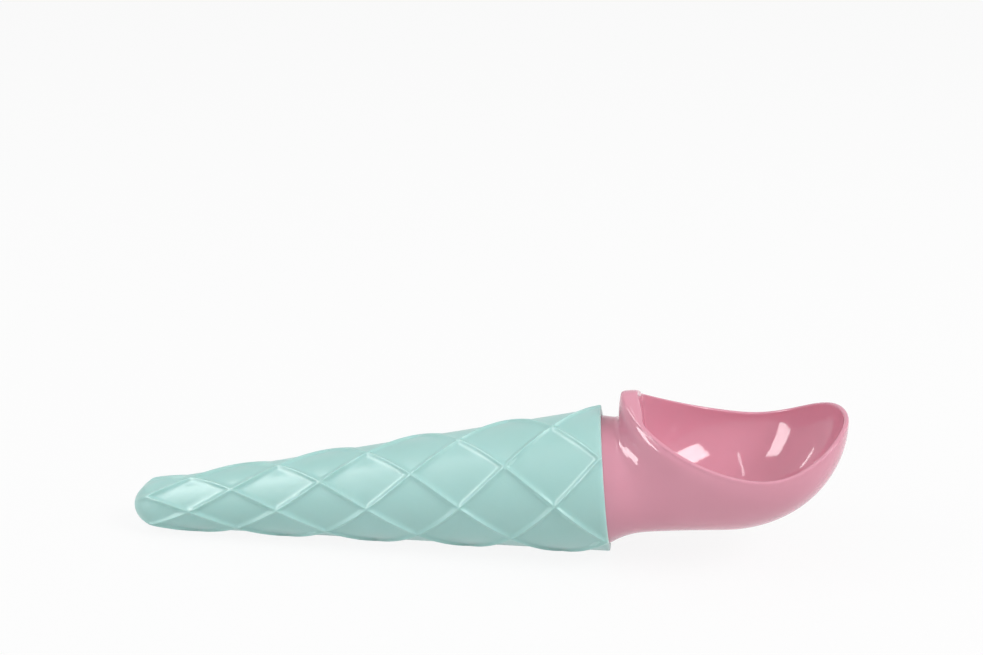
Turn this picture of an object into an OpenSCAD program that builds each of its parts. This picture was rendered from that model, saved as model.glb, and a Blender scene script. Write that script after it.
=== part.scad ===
// Ice cream scoop in two moulded pieces.
// A hollow handle shaped like a waffle cone carries a plug-in scoop head.
// The part lies at rest on the cone's side, tip to the left and bowl opening upwards.
// Each shape is built along the cone's axis: s runs from the cone's mouth towards
// the scoop's front lip, v goes sideways and u goes up from the axis, all in mm.

/* [Cone handle] */
// Length of the cone from its mouth to the end of the rounded tip
cone_length = 132.8; // [80:0.1:180]
// Radius of the plain cone at the mouth, under the ribs
mouth_radius = 19.4; // [15:0.1:28]
// Radius of the plain cone where the rounded tip begins
tip_radius = 6.6; // [4:0.1:12]
// Length of the rounded tip
tip_round = 7; // [5:0.1:12]
// Wall of the cone around the scoop's plug
socket_wall = 1.85; // [1.2:0.05:2.5]
// Ledge inside the cone that the plug's end stands on
ledge = 0.85; // [0.5:0.05:1.2]
// Broken edge around the mouth
mouth_edge = 0.4; // [0.1:0.1:0.8]

/* [Waffle ribs] */
// Ribs that wind around the cone in each direction
rib_starts = 5; // [3:1:8]
// Rows of crossings from the mouth to the bare tip
rib_rows = 10; // [6:1:14]
// Length of the tip that has no ribs
tip_bare = 5.3; // [4:0.1:10]
// Height of a rib over the plain cone
rib_height = 0.8; // [0.3:0.1:1.5]
// Width of a rib at its foot
rib_width = 1.5; // [1:0.1:3]
// Turn of the lattice around the axis
rib_turn = 42; // [0:1:72]

/* [Plug] */
// Depth that the plug goes into the cone
plug_depth = 18; // [10:1:30]
// Wall of the plug's tube
plug_wall = 2.4; // [1.6:0.1:4]
// Length of the collar that closes the mouth
collar_length = 1.5; // [1:0.1:4]
// Gap between the collar and the cone's wall
collar_gap = 0.15; // [0.05:0.05:0.25]
// Gap between the plug's tube and the cone's wall
plug_gap = 0.3; // [0.2:0.05:0.5]
// Distance from the mouth to the round end of the plug's bore
bore_reach = 8; // [4:0.5:10]

/* [Neck] */
// Half width of the neck at its waist
waist_radius = 16.2; // [13:0.1:17]
// Distance from the mouth to where the waist starts to widen
waist_place = 8; // [4:0.5:14]
// Depth of the underside below the axis
belly_depth = 14.2; // [12:0.1:17]
// Length over which the neck flares out to the mouth
flare_length = 10; // [5:0.5:16]
// Drop of the neck's top line from the mouth to the bowl's back wall
neck_drop = 0.45; // [0.1:0.05:1]
// Gap between the mouth and the bowl's back wall
back_gap = 4.7; // [3:0.1:8]
// Hollow corner between the neck and the back wall
back_fillet = 1.2; // [0.5:0.1:2]
// Forward lean of the back wall's top
back_lean = 1; // [0:0.1:3]

/* [Bowl] */
// Overall width of the bowl
bowl_width = 45; // [38:0.5:56]
// Distance from the mouth to the bowl's widest place
bowl_centre = 38.2; // [32:0.1:44]
// Distance from the mouth to the front lip
bowl_reach = 64.8; // [56:0.1:80]
// Distance from the mouth to where the underside turns up
nose_start = 33; // [28:0.5:40]
// Distance from the mouth to the deepest place of the bowl
floor_centre = 33; // [30:0.5:38]
// Height of the rim over the axis at the back
rim_back = 25.4; // [22:0.1:32]
// Height of the rim over the axis at the sides
rim_side = 7.8; // [5:0.1:12]
// Height of the rim over the axis at the front lip
rim_front = 15.2; // [12:0.1:20]
// Thickness of the rim at the sides and the front
rim_wall = 1.3; // [1:0.1:2.5]
// Thickness of the rim at the middle of the back
rim_back_wall = 4.6; // [2:0.1:6]
// Angle from there to where the rim is thin again
back_spread = 28; // [15:1:60]
// Rounding over the top of the rim
rim_round = 0.5; // [0.2:0.1:1]
// Thickness of the bowl's floor
floor_wall = 4.8; // [2:0.1:6]

/* [Hidden] */

mint = [0.65, 0.82, 0.8];
pink = [0.86, 0.57, 0.65];

// sizes that both pieces share: the cone's slope, the turn that lays its rib crests
// on the ground, and the socket, from which the collar and the plug take their size
rib_length = cone_length - tip_bare;
tip_start = cone_length - tip_round;
slope = (mouth_radius - tip_radius) / tip_start;
tilt = atan(slope);
socket_radius = mouth_radius - socket_wall;
handle_wall = socket_wall + ledge;
plug_offset = socket_wall + plug_gap;

// reach of both ends along the ground, which puts the origin under the middle
tip_end = tip_start * cos(tilt) + norm([tip_round * cos(tilt), tip_radius * sin(tilt)]);
nose_length = bowl_reach - nose_start;
nose_height = rim_front + belly_depth;
lip_end = nose_start * cos(tilt) - rim_front * sin(tilt)
    + norm([nose_length * cos(tilt), nose_height * sin(tilt)]);
middle = (lip_end - tip_end) / 2;

// how far a shape that cuts reaches past what it cuts
past = 1;

function mix(a, b, x) = a + (b - a) * x;
function ease(x) = let (c = min(max(x, 0), 1)) c * c * (3 - 2 * c);
function cone_radius(s) = mouth_radius + slope * s;

module at_rest() {
    translate([-middle, 0, (mouth_radius + rib_height) * cos(tilt)])
        rotate([0, -tilt, 0])
            children();
}

module along_axis() {
    rotate([0, 90, 0])
        children();
}

// Skins are stacks of closed lines of n points each, numbered line by line. Each
// pair of neighbouring lines is joined by a strip of triangles.
function index(line, i, n) = line * n + (i + n) % n;
function strip(line, n) = [
    for (i = [0 : n - 1], half = [0, 1])
    half == 0 ? [index(line, i, n), index(line + 1, i + 1, n), index(line, i + 1, n)]
    : [index(line, i, n), index(line + 1, i, n), index(line + 1, i + 1, n)]
];
function start_face(n) = [for (i = [0 : n - 1]) i];
function fan(line, n) = [for (i = [0 : n - 1])
    [index(line, i, n), (line + 1) * n, index(line, i + 1, n)]];

// Waffle skin.
// Ribs of one family lie where a is a whole number, those of the other where b is.
// a - b gives the place along the cone and a + b the place around it, so a grid in
// a and b has its edges along the ribs.
pitch = (rib_length - mouth_edge) / rib_rows;
sector = 180 / rib_starts;

// places across one diamond: crest, shoulder and foot of a rib, then the open panel
cell_steps = 8;
panel_steps = [0.27, 0.5, 0.73];
shoulder_height = 0.75;
cols = rib_starts * cell_steps;
rows = rib_rows * cell_steps;
tip_rings = 5;

// radius of the plain skin, which runs in from the cone over the rounded tip
function skin_radius(s) =
    let (x = min(max(-s - tip_start, 0) / tip_round, 1)) cone_radius(s) * sqrt(1 - x * x);

function rib_spacing(s) =
    let (high = pitch, wide = cone_radius(s) * sector * PI / 180)
    2 * high * wide / norm([high, wide]);
function cell_place(n, s) =
    let (whole = floor(n / cell_steps), foot = rib_width / 2 / rib_spacing(s))
    whole + concat([0, foot / 2, foot], panel_steps, [1 - foot, 1 - foot / 2])[n % cell_steps];
function relief(n) = [1, shoulder_height, 0, 0, 0, 0, 0, shoulder_height][n % cell_steps];

function skin_point(row, col) =
    let (
        even_s = -mouth_edge - pitch * row / cell_steps,
        a = cell_place(col, even_s),
        b = cell_place(col + row, even_s),
        s = -mouth_edge + pitch * (a - b),
        turn = rib_turn + sector * (a + b),
        r = skin_radius(s) + rib_height * max(relief(col), relief(col + row))
    )
    [s, -r * cos(turn), r * sin(turn)];

// a skin point moved to place s and to radius r
function moved(p, s, r) = let (k = r / norm([p[1], p[2]])) [s, p[1] * k, p[2] * k];

// the broken edge runs on past the mouth, where the bore's shape cuts it off flat
function mouth_point(col) =
    let (p = skin_point(0, col)) moved(p, past, norm([p[1], p[2]]) - mouth_edge - past);

function tip_point(ring, col) =
    let (
        p = skin_point(rows, col),
        bare = acos((tip_round - tip_bare) / tip_round) * (1 - ring / (tip_rings + 1)),
        s = -tip_start - tip_round * cos(bare),
        rib = norm([p[1], p[2]]) - skin_radius(p[0])
    )
    moved(p, s, skin_radius(s) + rib * pow(1 - ring / (tip_rings + 1), 3));

module waffle_skin() {
    tip_line = rows + 1;
    last = tip_line + tip_rings;
    points = concat(
        [for (col = [0 : cols - 1]) mouth_point(col)],
        [for (row = [0 : rows], col = [0 : cols - 1]) skin_point(row, col)],
        [for (ring = [1 : tip_rings], col = [0 : cols - 1]) tip_point(ring, col)],
        [[-cone_length, 0, 0]]
    );
    function at(line, col) = index(line, col, cols);
    faces = concat(
        [start_face(cols)],
        strip(0, cols),
        // half diamonds along the mouth, then whole ones, then half ones at the tip
        [for (col = [0 : cols - 1]) [at(1, col), at(2, col), at(1, col + 1)]],
        [for (line = [2 : rows], col = [0 : cols - 1])
            [at(line, col), at(line + 1, col), at(line - 1, col + 1)]],
        [for (line = [2 : rows], col = [0 : cols - 1])
            [at(line - 1, col + 1), at(line + 1, col), at(line, col + 1)]],
        [for (col = [0 : cols - 1])
            [at(tip_line, col), at(tip_line, col + 1), at(rows, col + 1)]],
        [for (line = [tip_line : last - 1]) each strip(line, cols)],
        fan(last, cols)
    );
    polyhedron(points, faces, convexity = 6);
}

// What is cut out of the skin: a flat mouth, and a bore that follows the cone's outside.
// The bore is wider around the plug, which leaves a ledge for the plug's end to stand on.
module handle_bore() {
    outside = mouth_radius + rib_height + past;
    end_radius = tip_radius - handle_wall;
    end_round = tip_round - handle_wall;
    along_axis()
        rotate_extrude($fn = 96)
            polygon(concat(
                [[0, 2 * past], [outside, 2 * past], [outside, 0], [socket_radius, 0]],
                [[cone_radius(-plug_depth) - socket_wall, -plug_depth]],
                [[cone_radius(-plug_depth) - handle_wall, -plug_depth]],
                [for (way = [0 : 15 : 75])
                    [end_radius * cos(way), -tip_start - end_round * sin(way)]],
                [[0, -tip_start - end_round]]
            ));
}

module cone_handle() {
    color(mint)
        at_rest()
            difference() {
                waffle_skin();
                handle_bore();
            }
}

// Scoop head.
// The outside is a loft of closed rings on three guides: the top line, one side line
// and the underside. t runs from the mouth (0) to the outer edge of the rim (1).
ring_points = 56;
outer_rings = 26;
inner_rings = 15;
neck_radius = socket_radius - collar_gap;

// shares of t that the top guide spends on the neck and on its hollow corner, and
// how fast each guide runs along its line
neck_share = 0.2;
corner_share = 0.1;
wall_pace = 1.15;
side_pace = 1.6;
side_rise_pace = 2;
belly_pace = 1.35;

// how full the curves are: 2 is round and more is squarer
nose_fullness = 1.9;
bowl_back_fullness = 2.5;
bowl_side_fullness = 1.8;

// how fast the thicker back wall fades out down the bowl's inside
back_fade = 6;

// how the rim dips from its back and from its front to its sides
rim_dip = [1.38, 2.7];
flat_dip = [2, 2];

function neck_line(s, waist) =
    let (x = max(0, 1 - max(s, 0) / flare_length)) mix(waist, neck_radius, x * x);

// along the neck, round the hollow corner and up the back wall
function top_guide(t) =
    let (
        low = neck_radius - neck_drop,
        corner = back_gap - back_fillet,
        on_neck = min(t / neck_share, 1),
        in_corner = 90 * min(max((t - neck_share) / corner_share, 0), 1),
        on_wall = max(t - neck_share - corner_share, 0) / (1 - neck_share - corner_share),
        wall_foot = low + back_fillet * (1 - cos(in_corner))
    )
    [
        corner * on_neck + back_fillet * sin(in_corner) + back_lean * on_wall * on_wall,
        on_neck < 1 ? mix(neck_radius, low, on_neck)
            : mix(wall_foot, rim_back - rim_round, pow(on_wall, wall_pace))
    ];

// along the waist and out to the widest place of the rim
function side_guide(t) =
    let (
        s = bowl_centre * pow(sin(90 * t), side_pace),
        spread = ease((s - waist_place) / (bowl_centre - waist_place)),
        rise = pow(max(0, (t - neck_share) / (1 - neck_share)), side_rise_pace)
    )
    [
        s,
        neck_line(s, waist_radius) + (bowl_width / 2 - waist_radius) * spread,
        (rim_side - rim_round) * rise
    ];

// straight along the belly for half of t, then up the nose to the front lip
function low_guide(t) =
    let (
        on_belly = nose_start * pow(min(2 * t, 1), belly_pace),
        x = sin(90 * max(2 * t - 1, 0)),
        y = 1 - pow(1 - pow(x, nose_fullness), 1 / nose_fullness)
    )
    [
        on_belly + nose_length * x,
        mix(-neck_line(on_belly, belly_depth), rim_front - rim_round, y)
    ];

// A closed ring through a top, a side and a low point. dip bends its back and front
// halves towards the side points, as a saddle, in place of leaving the ring flat.
function ring(top, side, low, dip) =
    let (mid = [(top[0] + low[0]) / 2, (top[1] + low[1]) / 2])
    [
        for (i = [0 : ring_points - 1])
        let (
            x = cos(360 * i / ring_points),
            y = sin(360 * i / ring_points),
            bend = pow(abs(x), y > 0 ? dip[0] : dip[1])
        )
        [
            mid[0] + (top[0] - low[0]) / 2 * y + (side[0] - mid[0]) * x * x,
            side[1] * x,
            mid[1] + (top[1] - low[1]) / 2 * y + (side[2] - mid[1]) * bend
        ]
    ];

function collar_ring(s) =
    let (r = neck_radius + slope * s) ring([s, r], [s, r, 0], [s, -r], flat_dip);

function outer_ring(t) =
    ring(top_guide(t), side_guide(t), low_guide(t), mix(flat_dip, rim_dip, t));

// rings over the rim: inward is 0 at its outer edge and 1 at its inner edge
function edge_points(inward, drop) = [
    [back_gap + back_lean + rim_wall * inward, 0, rim_back - drop],
    [bowl_centre, bowl_width / 2 - rim_wall * inward, rim_side - drop],
    [bowl_reach - rim_wall * inward, 0, rim_front - drop]
];
function rim_ring(inward, drop) =
    let (e = edge_points(inward, drop))
    thickened(ring([e[0][0], e[0][2]], e[1], [e[2][0], e[2][2]], rim_dip), inward);

// a ring whose back is moved forward, which leaves the back wall thicker in the middle
function thickened(points, share) = [
    for (i = [0 : ring_points - 1])
    let (off = abs(360 * i / ring_points - 90) / back_spread)
    points[i] + [(rim_back_wall - rim_wall) * share * max(0, 1 - pow(off, 3)), 0, 0]
];

// rings down the bowl's inside: way turns from the inner edge (0) to the deepest
// place (90), and full sets how upright that wall stands
floor_u = floor_wall - belly_depth;
function sunk(edge, way, full) =
    let (wide = pow(cos(way), 2 / full), deep = pow(sin(way), 2 / full))
    [mix(floor_centre, edge[0], wide), edge[1] * wide, mix(edge[2], floor_u, deep)];
function bowl_ring(way) =
    let (
        e = edge_points(1, rim_round),
        back = sunk(e[0], way, bowl_back_fullness),
        side = sunk(e[1], way, bowl_side_fullness),
        front = sunk(e[2], way, bowl_side_fullness)
    )
    thickened(ring([back[0], back[2]], side, [front[0], front[2]], rim_dip),
        pow(cos(way), back_fade));

module scoop_shell() {
    rings = concat(
        [collar_ring(-collar_length)],
        [for (k = [0 : outer_rings]) outer_ring(k / outer_rings)],
        [rim_ring(0.25, 0), rim_ring(0.75, 0)],
        [for (k = [0 : inner_rings - 1]) bowl_ring(90 * k / inner_rings)]
    );
    last = len(rings) - 1;
    points = concat([for (r = rings) each r], [[floor_centre, 0, floor_u]]);
    faces = concat(
        [start_face(ring_points)],
        [for (line = [0 : last - 1]) each strip(line, ring_points)],
        fan(last, ring_points)
    );
    polyhedron(points, faces, convexity = 6);
}

// tube that fills the cone's socket and stands on its ledge
module plug() {
    start = collar_length / 2;
    along_axis()
        rotate_extrude($fn = 96)
            polygon([
                [0, -plug_depth],
                [cone_radius(-plug_depth) - plug_offset, -plug_depth],
                [cone_radius(-start) - plug_offset, -start],
                [0, -start]
            ]);
}

// the tube's bore runs on into the neck and ends in a dome behind the bowl
module plug_bore() {
    r = cone_radius(-plug_depth) - plug_offset - plug_wall;
    along_axis()
        rotate_extrude($fn = 96)
            polygon(concat(
                [[0, -plug_depth - past], [r, -plug_depth - past]],
                [for (way = [0 : 10 : 80]) [r * cos(way), bore_reach - r + r * sin(way)]],
                [[0, bore_reach]]
            ));
}

module scoop_head() {
    color(pink)
        at_rest()
            difference() {
                union() {
                    scoop_shell();
                    plug();
                }
                plug_bore();
            }
}

cone_handle();
scoop_head();
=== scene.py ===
from math import acos, atan, atan2, cos, hypot, pi, radians, sin, sqrt

import bmesh
import bpy
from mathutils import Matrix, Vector


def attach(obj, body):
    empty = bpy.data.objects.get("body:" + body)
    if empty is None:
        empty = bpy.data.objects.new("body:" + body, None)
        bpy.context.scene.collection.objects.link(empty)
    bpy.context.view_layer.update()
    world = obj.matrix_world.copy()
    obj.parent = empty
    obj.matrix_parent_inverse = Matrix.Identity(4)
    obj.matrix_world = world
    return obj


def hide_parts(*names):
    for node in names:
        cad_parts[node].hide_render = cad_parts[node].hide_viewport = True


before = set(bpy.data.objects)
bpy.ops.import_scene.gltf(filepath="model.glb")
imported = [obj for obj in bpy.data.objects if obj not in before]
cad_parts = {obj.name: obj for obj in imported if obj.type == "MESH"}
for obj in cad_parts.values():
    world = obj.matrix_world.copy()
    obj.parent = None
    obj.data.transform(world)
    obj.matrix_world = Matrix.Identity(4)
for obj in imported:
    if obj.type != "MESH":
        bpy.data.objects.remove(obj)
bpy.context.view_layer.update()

# Sizes in millimetres, as in the part's source
CONE_LENGTH = 132.8
MOUTH_RADIUS = 19.4
TIP_RADIUS = 6.6
TIP_ROUND = 7
TIP_BARE = 5.3
SOCKET_WALL = 1.85
HANDLE_WALL = 2.7
MOUTH_EDGE = 0.4
RIB_STARTS = 5
RIB_ROWS = 10
RIB_HEIGHT = 0.8
RIB_TURN = 42
PLUG_DEPTH = 18
PLUG_WALL = 2.4
PLUG_OFFSET = 2.15
COLLAR_LENGTH = 1.5
COLLAR_GAP = 0.15
BORE_REACH = 8
WAIST_RADIUS = 16.2
WAIST_PLACE = 8
BELLY_DEPTH = 14.2
FLARE_LENGTH = 10
NECK_DROP = 0.45
BACK_GAP = 4.7
BACK_FILLET = 1.2
BACK_LEAN = 1
BOWL_WIDTH = 45
BOWL_CENTRE = 38.2
BOWL_REACH = 64.8
NOSE_START = 33
FLOOR_CENTRE = 33
RIM_BACK = 25.4
RIM_SIDE = 7.8
RIM_FRONT = 15.2
RIM_WALL = 1.3
RIM_BACK_WALL = 4.6
BACK_SPREAD = 28
RIM_ROUND = 0.5
FLOOR_WALL = 4.8

RIB_LENGTH = CONE_LENGTH - TIP_BARE
TIP_START = CONE_LENGTH - TIP_ROUND
SLOPE = (MOUTH_RADIUS - TIP_RADIUS) / TIP_START
TILT = atan(SLOPE)
PITCH = (RIB_LENGTH - MOUTH_EDGE) / RIB_ROWS
SECTOR = pi / RIB_STARTS
NECK_RADIUS = MOUTH_RADIUS - SOCKET_WALL - COLLAR_GAP
NOSE_LENGTH = BOWL_REACH - NOSE_START
NOSE_HEIGHT = RIM_FRONT + BELLY_DEPTH

TIP_END = TIP_START * cos(TILT) + hypot(TIP_ROUND * cos(TILT), TIP_RADIUS * sin(TILT))
LIP_END = (NOSE_START * cos(TILT) - RIM_FRONT * sin(TILT)
           + hypot(NOSE_LENGTH * cos(TILT), NOSE_HEIGHT * sin(TILT)))
MIDDLE = (LIP_END - TIP_END) / 2
AXIS_HEIGHT = (MOUTH_RADIUS + RIB_HEIGHT) * cos(TILT)


def at_rest(s, v, u):
    """A point of the lying part in metres: s along the cone's axis from its mouth, v
    sideways and u up."""
    return Vector((s * cos(TILT) - u * sin(TILT) - MIDDLE, v,
                   s * sin(TILT) + u * cos(TILT) + AXIS_HEIGHT)) / 1000


def mix(a, b, x):
    return a + (b - a) * x


def ease(x):
    x = min(max(x, 0), 1)
    return x * x * (3 - 2 * x)


def cone_radius(s):
    return MOUTH_RADIUS + SLOPE * s


# Mesh helpers: all else is deselected before an object is worked on

def deselect_all():
    bpy.ops.object.select_all(action="DESELECT")


def pick(piece):
    deselect_all()
    piece.select_set(True)
    bpy.context.view_layer.objects.active = piece


def begin_edit(piece):
    pick(piece)
    bpy.ops.object.mode_set(mode="EDIT")
    bpy.ops.mesh.select_mode(type="VERT")
    bpy.ops.mesh.select_all(action="SELECT")


def end_edit():
    bpy.ops.object.mode_set(mode="OBJECT")


def edit_mesh(piece):
    mesh = bmesh.from_edit_mesh(piece.data)
    mesh.verts.ensure_lookup_table()
    return mesh


def move_selected(piece, place):
    """Gives each selected vertex its place, from where the vertex is and from its number
    around the loop."""
    mesh = edit_mesh(piece)
    around = mesh.verts.layers.int.get("around")
    for vert in [v for v in mesh.verts if v.select]:
        vert.co = place(vert.co, vert[around] if around else 0)
    bmesh.update_edit_mesh(piece.data)


def extrude_loop(piece, place):
    bpy.ops.mesh.extrude_region_move()
    move_selected(piece, place)


def close_to_point(piece):
    bpy.ops.mesh.extrude_region_move()
    bpy.ops.mesh.merge(type="CENTER")


def select_open_edge(piece, wanted):
    bpy.ops.mesh.select_all(action="DESELECT")
    mesh = edit_mesh(piece)
    for vert in mesh.verts:
        vert.select = vert.is_boundary and wanted(vert.co)
    mesh.select_flush(True)
    bmesh.update_edit_mesh(piece.data)


def lay_down(piece):
    """The last step in edit mode: the shape goes to where it lies, in metres."""
    bpy.ops.mesh.select_all(action="SELECT")
    move_selected(piece, lambda co, _: at_rest(*co))
    bpy.ops.mesh.normals_make_consistent(inside=False)
    end_edit()


def subdivide(piece, levels):
    pick(piece)
    surface = piece.modifiers.new("Subdivision", "SUBSURF")
    surface.levels = surface.render_levels = levels
    bpy.ops.object.modifier_apply(modifier=surface.name)


def smooth(piece, angle):
    pick(piece)
    bpy.ops.object.shade_smooth_by_angle(angle=radians(angle))


# Waffle cone handle

CELL_STEPS = 24
TIP_STEPS = 14
TIP_FADE = 3
EDGE_STEPS = 3
# half of a rib: how far out from the crest in millimetres, and the share of its height
RIB_PROFILE = [(0, 1), (0.1, 0.97), (0.21, 0.86), (0.34, 0.68), (0.5, 0.47),
               (0.7, 0.28), (0.96, 0.13), (1.3, 0.04), (1.7, 0)]
# the socket's broken edge: how far behind the mouth, and how much wider than the socket
SOCKET_EDGE = [(0, 0.2), (0.06, 0.06), (0.2, 0)]
# degrees round the hollow's closed end
HOLLOW_END = (25, 50, 75)


def skin_radius(s):
    """Radius of the plain skin, which runs in from the cone over the rounded tip."""
    x = min(max(-s - TIP_START, 0) / TIP_ROUND, 1)
    return cone_radius(s) * sqrt(1 - x * x)


def rib_spacing(s):
    wide = cone_radius(s) * SECTOR
    return 2 * PITCH * wide / hypot(PITCH, wide)


def cell_place(step, s):
    """Where a grid line lies across the diamonds, and how high the rib is there."""
    whole, inside = divmod(step, CELL_STEPS)
    mirrored = min(inside, CELL_STEPS - inside)
    last = len(RIB_PROFILE) - 1
    spacing = rib_spacing(s)
    if mirrored <= last:
        place, height = RIB_PROFILE[mirrored][0] / spacing, RIB_PROFILE[mirrored][1]
    else:
        foot = RIB_PROFILE[last][0] / spacing
        place, height = mix(foot, 0.5, (mirrored - last) / (CELL_STEPS / 2 - last)), 0
    return whole + (place if inside == mirrored else 1 - place), height


def skin_point(x, y):
    """A point of the flat lattice, laid on the cone. x and y count diamonds."""
    even_s = -MOUTH_EDGE + PITCH * (x - y)
    a, high_a = cell_place(round(x * CELL_STEPS), even_s)
    b, high_b = cell_place(round(y * CELL_STEPS), even_s)
    s = -MOUTH_EDGE + PITCH * (a - b)
    turn = radians(RIB_TURN) + SECTOR * (a + b)
    r = skin_radius(s) + RIB_HEIGHT * (1 - (1 - high_a) * (1 - high_b))
    return Vector((s, -r * cos(turn), r * sin(turn)))


def flat_lattice():
    """A flat square grid, trimmed to a diamond whose sides are the mouth, the tip and
    the seam."""
    deselect_all()
    lines = RIB_ROWS * CELL_STEPS
    bpy.ops.mesh.primitive_grid_add(x_subdivisions=lines, y_subdivisions=lines,
                                    size=RIB_ROWS, location=(0, 0, 0))
    piece = bpy.context.object
    piece.name = "waffle_cone_handle"
    begin_edit(piece)
    half = RIB_ROWS / 2
    bpy.ops.transform.translate(value=(-half / 2, half / 2, 0))
    for place, normal in [((0, 0, 0), (1, -1, 0)), ((-half, half, 0), (-1, 1, 0)),
                          ((-half, 0, 0), (-1, -1, 0)), ((0, half, 0), (1, 1, 0))]:
        bpy.ops.mesh.select_all(action="SELECT")
        bpy.ops.mesh.bisect(plane_co=place, plane_no=normal, clear_outer=True)
    bpy.ops.mesh.select_all(action="SELECT")
    return piece


def to_radius(co, s, r):
    """The point at s and radius r that lies in the same direction from the axis."""
    size = hypot(co.y, co.z)
    return Vector((s, co.y * r / size, co.z * r / size))


def round_tip(piece):
    """The skin closes over the tip, and the ribs sink into it on the way."""
    select_open_edge(piece, lambda co: co.x < -RIB_LENGTH / 2)
    bare = acos((TIP_ROUND - TIP_BARE) / TIP_ROUND)
    for k in range(1, TIP_STEPS):
        left, before = 1 - k / TIP_STEPS, 1 - (k - 1) / TIP_STEPS
        s = -TIP_START - TIP_ROUND * cos(bare * left)
        extrude_loop(piece, lambda co, _: to_radius(
            co, s, skin_radius(s)
            + (hypot(co.y, co.z) - skin_radius(co.x)) * (left / before) ** TIP_FADE))
    close_to_point(piece)
    move_selected(piece, lambda co, _: Vector((-CONE_LENGTH, 0, 0)))


def hollow_out(piece):
    """From the mouth inwards: broken edge, flat face, socket, ledge and the hollow."""
    select_open_edge(piece, lambda co: True)
    for k in range(1, EDGE_STEPS + 1):
        turn, last = k * pi / 2 / EDGE_STEPS, (k - 1) * pi / 2 / EDGE_STEPS
        extrude_loop(piece, lambda co, _: to_radius(
            co, MOUTH_EDGE * (sin(turn) - 1),
            hypot(co.y, co.z) - MOUTH_EDGE * (cos(last) - cos(turn))))
    ledge = cone_radius(-PLUG_DEPTH)
    hollow = TIP_RADIUS - HANDLE_WALL
    section = [(-behind, MOUTH_RADIUS - SOCKET_WALL + wider) for behind, wider in SOCKET_EDGE]
    section += [(-PLUG_DEPTH, ledge - SOCKET_WALL), (-PLUG_DEPTH, ledge - HANDLE_WALL),
                (-TIP_START, hollow)]
    section += [(-TIP_START - (TIP_ROUND - HANDLE_WALL) * sin(radians(way)),
                 hollow * cos(radians(way))) for way in HOLLOW_END]
    for s, r in section:
        extrude_loop(piece, lambda co, _: to_radius(co, s, r))
    close_to_point(piece)


def build_cone_handle():
    piece = flat_lattice()
    move_selected(piece, lambda co, _: skin_point(co.x, co.y))
    bpy.ops.mesh.remove_doubles(threshold=0.001)
    round_tip(piece)
    hollow_out(piece)
    lay_down(piece)
    smooth(piece, angle=50)
    return piece


# Scoop head

RING_POINTS = 64
OUTER_RINGS = 30
NECK_SHARE = 0.2
CORNER_SHARE = 0.1
WALL_PACE = 1.15
SIDE_PACE = 1.6
BELLY_PACE = 1.35
RIM_DIP = (1.38, 2.7)
FLAT_DIP = (2, 2)
# how full the curves are: 2 is round and more is squarer
NOSE_FULLNESS = 1.9
BOWL_BACK_FULLNESS = 2.5
BOWL_SIDE_FULLNESS = 1.8
# how fast the thicker back wall fades out down the bowl's inside
BACK_FADE = 6
# a second ring this close to a corner keeps it firm when the mesh is subdivided
FIRM = 0.05
# the rim's rounded top: the share of the way in, and how far under the top
RIM_TOP = [(0.06, 0.2), (0.2, 0.03), (0.5, 0), (0.8, 0.03), (0.94, 0.2)]
# degrees round the bore's closed end, and down the bowl from its rim to its floor
BORE_END = (88, 75, 60, 45, 30, 15, 0)
BOWL_WAYS = [0, 2.5, 6, *range(12, 84, 6), 84, 87, 88.7, 89.6]


def neck_line(s, waist):
    x = max(0, 1 - max(s, 0) / FLARE_LENGTH)
    return mix(waist, NECK_RADIUS, x * x)


def top_guide(t):
    """Along the neck's top, round the corner and up the back wall, as (s, u)."""
    low = NECK_RADIUS - NECK_DROP
    on_neck = min(t / NECK_SHARE, 1)
    in_corner = pi / 2 * min(max((t - NECK_SHARE) / CORNER_SHARE, 0), 1)
    on_wall = max(t - NECK_SHARE - CORNER_SHARE, 0) / (1 - NECK_SHARE - CORNER_SHARE)
    wall_foot = low + BACK_FILLET * (1 - cos(in_corner))
    s = ((BACK_GAP - BACK_FILLET) * on_neck + BACK_FILLET * sin(in_corner)
         + BACK_LEAN * on_wall ** 2)
    if on_neck < 1:
        return s, mix(NECK_RADIUS, low, on_neck)
    return s, mix(wall_foot, RIM_BACK - RIM_ROUND, on_wall ** WALL_PACE)


def side_guide(t):
    """Along the side, over the waist and up to the rim, as (s, v, u)."""
    s = BOWL_CENTRE * sin(pi / 2 * t) ** SIDE_PACE
    spread = ease((s - WAIST_PLACE) / (BOWL_CENTRE - WAIST_PLACE))
    rise = max(0, (t - NECK_SHARE) / (1 - NECK_SHARE)) ** 2
    return (s, neck_line(s, WAIST_RADIUS) + (BOWL_WIDTH / 2 - WAIST_RADIUS) * spread,
            (RIM_SIDE - RIM_ROUND) * rise)


def low_guide(t):
    """Along the belly and up the nose to the lip, as (s, u)."""
    on_belly = NOSE_START * min(2 * t, 1) ** BELLY_PACE
    x = sin(pi / 2 * max(2 * t - 1, 0))
    y = 1 - max(0, 1 - x ** NOSE_FULLNESS) ** (1 / NOSE_FULLNESS)
    return (on_belly + NOSE_LENGTH * x,
            mix(-neck_line(on_belly, BELLY_DEPTH), RIM_FRONT - RIM_ROUND, y))


def ring(top, side, low, dip):
    """A closed line through a point of each guide, that dips at the sides."""
    mid_s, mid_u = (top[0] + low[0]) / 2, (top[1] + low[1]) / 2
    points = []
    for i in range(RING_POINTS):
        x, y = cos(2 * pi * i / RING_POINTS), sin(2 * pi * i / RING_POINTS)
        bend = abs(x) ** (dip[0] if y > 0 else dip[1])
        points.append((mid_s + (top[0] - low[0]) / 2 * y + (side[0] - mid_s) * x * x,
                       side[1] * x,
                       mid_u + (top[1] - low[1]) / 2 * y + (side[2] - mid_u) * bend))
    return points


def round_ring(s, r):
    return [(s, r * cos(2 * pi * i / RING_POINTS), r * sin(2 * pi * i / RING_POINTS))
            for i in range(RING_POINTS)]


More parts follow.
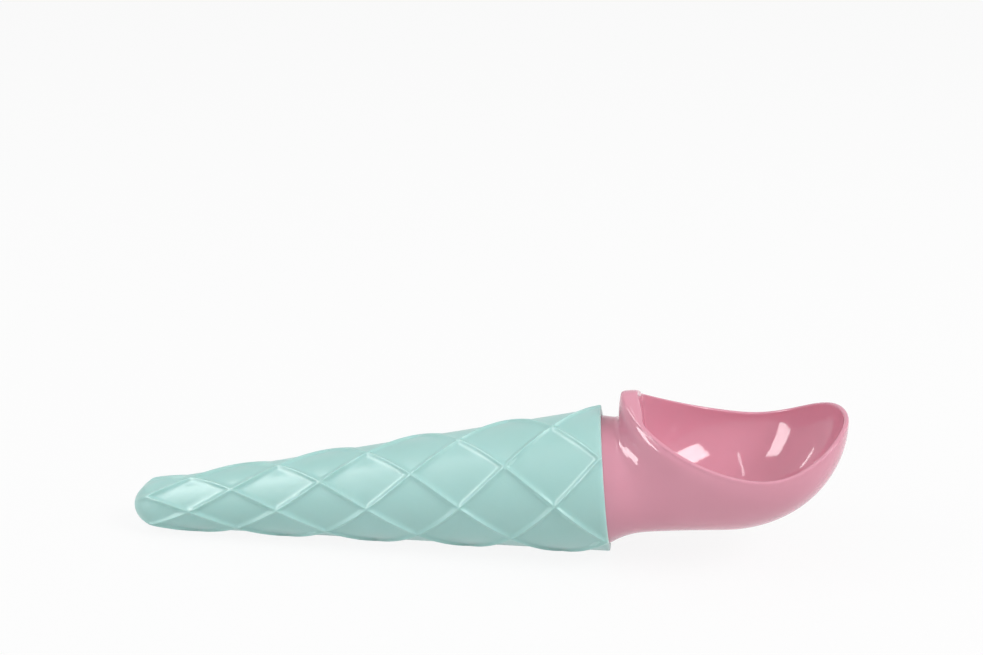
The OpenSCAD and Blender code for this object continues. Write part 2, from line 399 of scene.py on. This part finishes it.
def outer_ring(t):
    dip = (mix(FLAT_DIP[0], RIM_DIP[0], t), mix(FLAT_DIP[1], RIM_DIP[1], t))
    return ring(top_guide(t), side_guide(t), low_guide(t), dip)


def edge_points(inward, drop):
    return [(BACK_GAP + BACK_LEAN + RIM_WALL * inward, 0, RIM_BACK - drop),
            (BOWL_CENTRE, BOWL_WIDTH / 2 - RIM_WALL * inward, RIM_SIDE - drop),
            (BOWL_REACH - RIM_WALL * inward, 0, RIM_FRONT - drop)]


def thickened(points, share):
    """A ring whose back is moved forward, which leaves the back wall thicker there."""
    moved = []
    for i, (s, v, u) in enumerate(points):
        off = abs(360 * i / RING_POINTS - 90) / BACK_SPREAD
        moved.append((s + (RIM_BACK_WALL - RIM_WALL) * share * max(0, 1 - off ** 3), v, u))
    return moved


def rim_ring(inward, drop):
    back, side, front = edge_points(inward, drop)
    return thickened(ring((back[0], back[2]), side, (front[0], front[2]), RIM_DIP), inward)


def bowl_ring(way):
    """A closed line inside the bowl. way is 0 at the rim and a right angle on the floor."""
    floor_u = FLOOR_WALL - BELLY_DEPTH

    def sunk(edge, full):
        wide, deep = cos(way) ** (2 / full), sin(way) ** (2 / full)
        return (mix(FLOOR_CENTRE, edge[0], wide), edge[1] * wide, mix(edge[2], floor_u, deep))
    back, side, front = edge_points(1, RIM_ROUND)
    back = sunk(back, BOWL_BACK_FULLNESS)
    side, front = sunk(side, BOWL_SIDE_FULLNESS), sunk(front, BOWL_SIDE_FULLNESS)
    return thickened(ring((back[0], back[2]), side, (front[0], front[2]), RIM_DIP),
                     cos(way) ** BACK_FADE)


def head_rings():
    """Closed lines from the blind end of the plug's bore, over the plug, the neck, the
    bowl's outside and the rim, to the deepest place of the bowl."""
    plug_end = cone_radius(-PLUG_DEPTH) - PLUG_OFFSET
    bore = plug_end - PLUG_WALL
    plug_top = cone_radius(-COLLAR_LENGTH) - PLUG_OFFSET
    collar = NECK_RADIUS - SLOPE * COLLAR_LENGTH
    rings = [round_ring(BORE_REACH - bore * (1 - sin(radians(way))), bore * cos(radians(way)))
             for way in BORE_END]
    rings += [round_ring(-PLUG_DEPTH + FIRM, bore), round_ring(-PLUG_DEPTH, bore + FIRM),
              round_ring(-PLUG_DEPTH, plug_end - FIRM),
              round_ring(-PLUG_DEPTH + FIRM, plug_end)]
    rings += [round_ring(-COLLAR_LENGTH - FIRM, plug_top),
              round_ring(-COLLAR_LENGTH, plug_top + FIRM),
              round_ring(-COLLAR_LENGTH, collar - FIRM),
              round_ring(-COLLAR_LENGTH + FIRM, collar)]
    rings += [outer_ring(k / OUTER_RINGS) for k in range(OUTER_RINGS + 1)]
    rings += [rim_ring(inward, drop) for inward, drop in RIM_TOP]
    rings += [bowl_ring(radians(way)) for way in BOWL_WAYS]
    return rings


def build_scoop_head():
    deselect_all()
    bpy.ops.mesh.primitive_circle_add(vertices=RING_POINTS, radius=1, fill_type="NGON")
    piece = bpy.context.object
    piece.name = "ice_cream_scoop_head"
    begin_edit(piece)
    mesh = edit_mesh(piece)
    around = mesh.verts.layers.int.new("around")
    for vert in mesh.verts:
        vert[around] = round(atan2(vert.co.y, vert.co.x) / (2 * pi) * RING_POINTS) % RING_POINTS
    first, *others = head_rings()
    move_selected(piece, lambda co, i: Vector(first[i]))
    for places in others:
        extrude_loop(piece, lambda co, i: Vector(places[i]))
    lay_down(piece)
    subdivide(piece, levels=2)
    smooth(piece, angle=60)
    return piece


# Finishes

def moulded_plastic():
    """Moulded plastic: a faint cloudiness, a fine grain, handled patches that are a
    little duller, and a painted highlight that lightens the colour along sharp rims and rib
    crests."""
    tree = bpy.data.node_groups.new("moulded_plastic", "ShaderNodeTree")
    for name, kind in [("Colour", "Color"), ("Cloud Colour", "Color"), ("Edge Highlight Colour", "Color"),
                       ("Clouds", "Float"), ("Edges", "Float"), ("Roughness", "Float"),
                       ("Handling", "Float"), ("Grain Scale", "Float")]:
        tree.interface.new_socket(name, in_out="INPUT", socket_type="NodeSocket" + kind)
    for name, kind in [("Colour", "Color"), ("Roughness", "Float"), ("Height", "Float")]:
        tree.interface.new_socket(name, in_out="OUTPUT", socket_type="NodeSocket" + kind)
    node, link = tree.nodes.new, tree.links.new
    given, result = node("NodeGroupInput").outputs, node("NodeGroupOutput").inputs
    place = node("ShaderNodeTexCoord").outputs["Object"]

    def noise(detail, scale=1, distortion=0):
        texture = node("ShaderNodeTexNoise")
        texture.inputs["Scale"].default_value = scale
        texture.inputs["Detail"].default_value = detail
        texture.inputs["Distortion"].default_value = distortion
        link(place, texture.inputs["Vector"])
        return texture

    def stretch(value, low, high):
        spread = node("ShaderNodeMapRange")
        spread.interpolation_type = "SMOOTHSTEP"
        spread.inputs["From Min"].default_value = low
        spread.inputs["From Max"].default_value = high
        link(value, spread.inputs["Value"])
        return spread.outputs["Result"]

    def calculate(operation, a, b):
        step = node("ShaderNodeMath")
        step.operation = operation
        link(a, step.inputs[0])
        link(b, step.inputs[1])
        return step.outputs["Value"]

    def blend(factor, a, b):
        # the Mix node's colours are its inputs 6 and 7 and its output 2
        mixed = node("ShaderNodeMix")
        mixed.data_type = "RGBA"
        link(factor, mixed.inputs[0])
        link(a, mixed.inputs[6])
        link(b, mixed.inputs[7])
        return mixed.outputs[2]

    clouds = stretch(noise(detail=3, scale=38, distortion=0.6).outputs["Fac"],
                     low=0.3, high=0.7)
    clouds = calculate("MULTIPLY", clouds, given["Clouds"])
    # painted highlight: the colour is lightened on sharp rims and rib crests, where light would
    # catch them
    edge_highlights = stretch(node("ShaderNodeNewGeometry").outputs["Pointiness"],
                    low=0.52, high=0.6)
    edge_highlights = calculate("MULTIPLY", edge_highlights, given["Edges"])
    cloudy = blend(clouds, given["Colour"], given["Cloud Colour"])
    link(blend(edge_highlights, cloudy, given["Edge Highlight Colour"]), result["Colour"])

    patches = stretch(noise(detail=2, scale=60, distortion=0.3).outputs["Fac"],
                      low=0.3, high=0.8)
    patches = calculate("MULTIPLY", patches, given["Handling"])
    link(calculate("ADD", given["Roughness"], patches), result["Roughness"])

    grain = noise(detail=4)
    link(given["Grain Scale"], grain.inputs["Scale"])
    link(grain.outputs["Fac"], result["Height"])
    return tree


MOULDED_PLASTIC = moulded_plastic()


def plastic(name, colour, cloud, edge, roughness, handling, grain, bump, thinness):
    material = bpy.data.materials.new(name)
    material.use_nodes = True
    tree = material.node_tree
    shader = tree.nodes["Principled BSDF"]
    shader.inputs["IOR"].default_value = 1.49
    shader.inputs["Subsurface Weight"].default_value = thinness
    shader.inputs["Subsurface Radius"].default_value = (1.0, 0.8, 0.7)
    shader.inputs["Subsurface Scale"].default_value = 0.002
    group = tree.nodes.new("ShaderNodeGroup")
    group.node_tree = MOULDED_PLASTIC
    # the edge colour and its share are a painted highlight along sharp rims and rib crests
    for socket, value in [("Colour", (*colour, 1)), ("Cloud Colour", (*cloud, 1)),
                          ("Edge Highlight Colour", (*edge, 1)), ("Clouds", 0.5), ("Edges", 0.5),
                          ("Roughness", roughness), ("Handling", handling),
                          ("Grain Scale", grain)]:
        group.inputs[socket].default_value = value
    relief = tree.nodes.new("ShaderNodeBump")
    relief.inputs["Strength"].default_value = bump
    relief.inputs["Distance"].default_value = 0.0001
    tree.links.new(group.outputs["Height"], relief.inputs["Height"])
    tree.links.new(relief.outputs["Normal"], shader.inputs["Normal"])
    tree.links.new(group.outputs["Colour"], shader.inputs["Base Color"])
    tree.links.new(group.outputs["Roughness"], shader.inputs["Roughness"])
    return material


# in both, edge is the colour of a painted highlight along sharp rims and rib crests
mint_plastic = plastic(
    "mint_plastic", colour=(0.40, 0.66, 0.63), cloud=(0.36, 0.62, 0.58), edge=(0.58, 0.82, 0.79),
    roughness=0.33, handling=0.03, grain=1400, bump=0.2, thinness=0.35)
pink_plastic = plastic(
    "pink_plastic", colour=(0.72, 0.32, 0.41), cloud=(0.69, 0.29, 0.38), edge=(0.82, 0.48, 0.56),
    roughness=0.06, handling=0.02, grain=900, bump=0.06, thinness=0.1)

for piece, node_name, material, slot in [
        (build_cone_handle(), "cone_handle", mint_plastic, "mint_plastic"),
        (build_scoop_head(), "scoop_head", pink_plastic, "pink_plastic")]:
    piece.data.materials.clear()
    piece.data.materials.append(material)
    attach(piece, "root")
    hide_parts(node_name)


# Studio

# how much of the sheet looks plain white, over the light and shadow that fall on it
SHEET_GLOW = 0.9
FLOOR_SIZE = 8
BOWL_MIDDLE = Vector((0.05, 0, 0.03))
LIGHT_DISTANCE = 1.1
GLOSS_DISTANCE = 1
CAMERA_PLACE = (0.0319, -0.3437, 0.1919)
CAMERA_DOWN = 20.485
CAMERA_TURN = 4.755
PHOTO_WIDTH = 983
FOCAL_PIXELS = 1400
SENSOR_WIDTH = 36


def seen_rays(tree, share):
    """share for the rays that show the background, and 0 for those that light things."""
    path = tree.nodes.new("ShaderNodeLightPath")
    total = path.outputs["Is Camera Ray"]
    for other in ("Is Glossy Ray", "Is Transmission Ray"):
        either = tree.nodes.new("ShaderNodeMath")
        either.operation = "MAXIMUM"
        tree.links.new(total, either.inputs[0])
        tree.links.new(path.outputs[other], either.inputs[1])
        total = either.outputs["Value"]
    scaled = tree.nodes.new("ShaderNodeMath")
    scaled.operation = "MULTIPLY"
    tree.links.new(total, scaled.inputs[0])
    scaled.inputs[1].default_value = share
    return scaled.outputs["Value"]


def studio_floor():
    """A white sheet that looks lit from below, and still shows a faint shadow."""
    deselect_all()
    bpy.ops.mesh.primitive_plane_add(size=FLOOR_SIZE, location=(0, 0, 0))
    floor = bpy.context.object
    floor.name = "studio_floor"
    material = bpy.data.materials.new("white_sheet")
    material.use_nodes = True
    tree = material.node_tree
    tree.nodes.clear()
    sheet = tree.nodes.new("ShaderNodeBsdfDiffuse")
    sheet.inputs["Color"].default_value = (0.8, 0.8, 0.8, 1)
    white = tree.nodes.new("ShaderNodeEmission")
    white.inputs["Strength"].default_value = 1
    both = tree.nodes.new("ShaderNodeMixShader")
    out = tree.nodes.new("ShaderNodeOutputMaterial")
    tree.links.new(seen_rays(tree, SHEET_GLOW), both.inputs["Fac"])
    tree.links.new(sheet.outputs["BSDF"], both.inputs[1])
    tree.links.new(white.outputs["Emission"], both.inputs[2])
    tree.links.new(both.outputs["Shader"], out.inputs["Surface"])
    floor.data.materials.append(material)


def studio_world():
    """Soft light that falls mostly from above, around a plain white background."""
    world = bpy.data.worlds.new("studio")
    bpy.context.scene.world = world
    world.use_nodes = True
    tree = world.node_tree
    light = tree.nodes["Background"]
    light.inputs["Color"].default_value = (1, 1, 1, 1)
    height = tree.nodes.new("ShaderNodeSeparateXYZ")
    tree.links.new(tree.nodes.new("ShaderNodeTexCoord").outputs["Generated"],
                   height.inputs["Vector"])
    strength = tree.nodes.new("ShaderNodeMapRange")
    for name, value in [("From Min", 0), ("From Max", 1), ("To Min", 0.25), ("To Max", 0.7)]:
        strength.inputs[name].default_value = value
    tree.links.new(height.outputs["Z"], strength.inputs["Value"])
    tree.links.new(strength.outputs["Result"], light.inputs["Strength"])
    white = tree.nodes.new("ShaderNodeBackground")
    white.inputs["Strength"].default_value = 1
    both = tree.nodes.new("ShaderNodeMixShader")
    tree.links.new(seen_rays(tree, 1), both.inputs["Fac"])
    tree.links.new(light.outputs["Background"], both.inputs[1])
    tree.links.new(white.outputs["Background"], both.inputs[2])
    tree.links.new(both.outputs["Shader"], tree.nodes["World Output"].inputs["Surface"])


def softbox(name, azimuth, height, roll, size, power, distance):
    """A flat lamp that faces the bowl from an azimuth and a height in degrees. roll turns
    it about its own axis."""
    light = bpy.data.lights.new(name, "AREA")
    light.shape = "RECTANGLE"
    light.size, light.size_y = size
    light.energy = power
    holder = bpy.data.objects.new(name, light)
    holder.rotation_euler = (radians(90 - height), 0, radians(azimuth + 90))
    away = Vector((0, 0, 1))
    away.rotate(holder.rotation_euler)
    holder.location = BOWL_MIDDLE + away * distance
    holder.rotation_euler.rotate_axis("Z", radians(roll))
    bpy.context.scene.collection.objects.link(holder)
    return holder


studio_floor()
studio_world()
# Each softbox has a lamp in front that is only reflected in the gloss, and the left and right
# ones also a lamp behind it that lights the plastic; their power is in watts
for name, azimuth, height, roll, size, light, gloss in [
        ("left_softbox", -156, 32.6, -58.1, (1.09, 0.33), 3.5, 12),
        ("right_softbox", -24.5, 43.5, -97.8, (0.4, 0.5), 6.3, 8),
        ("top_strip", -113.3, 81, -142.2, (0.026, 0.674), 0, 0.5),
        ("back_strip", 134.1, 18.1, 63.1, (0.03, 0.27), 0, 0.2)]:
    if light:
        lamp = softbox(name + "_light", azimuth, height, roll, size, light, LIGHT_DISTANCE)
        lamp.visible_glossy = False
    lamp = softbox(name + "_gloss", azimuth, height, roll, size, gloss, GLOSS_DISTANCE)
    lamp.visible_diffuse = False

camera = bpy.data.objects.new("camera", bpy.data.cameras.new("camera"))
bpy.context.scene.collection.objects.link(camera)
camera.location = CAMERA_PLACE
camera.rotation_euler = (radians(90 - CAMERA_DOWN), 0, radians(CAMERA_TURN))
camera.data.sensor_width = SENSOR_WIDTH
camera.data.sensor_fit = "HORIZONTAL"
camera.data.lens = FOCAL_PIXELS * SENSOR_WIDTH / PHOTO_WIDTH
camera.data.clip_start = 0.01
bpy.context.scene.camera = camera
bpy.context.scene.view_settings.view_transform = "Standard"
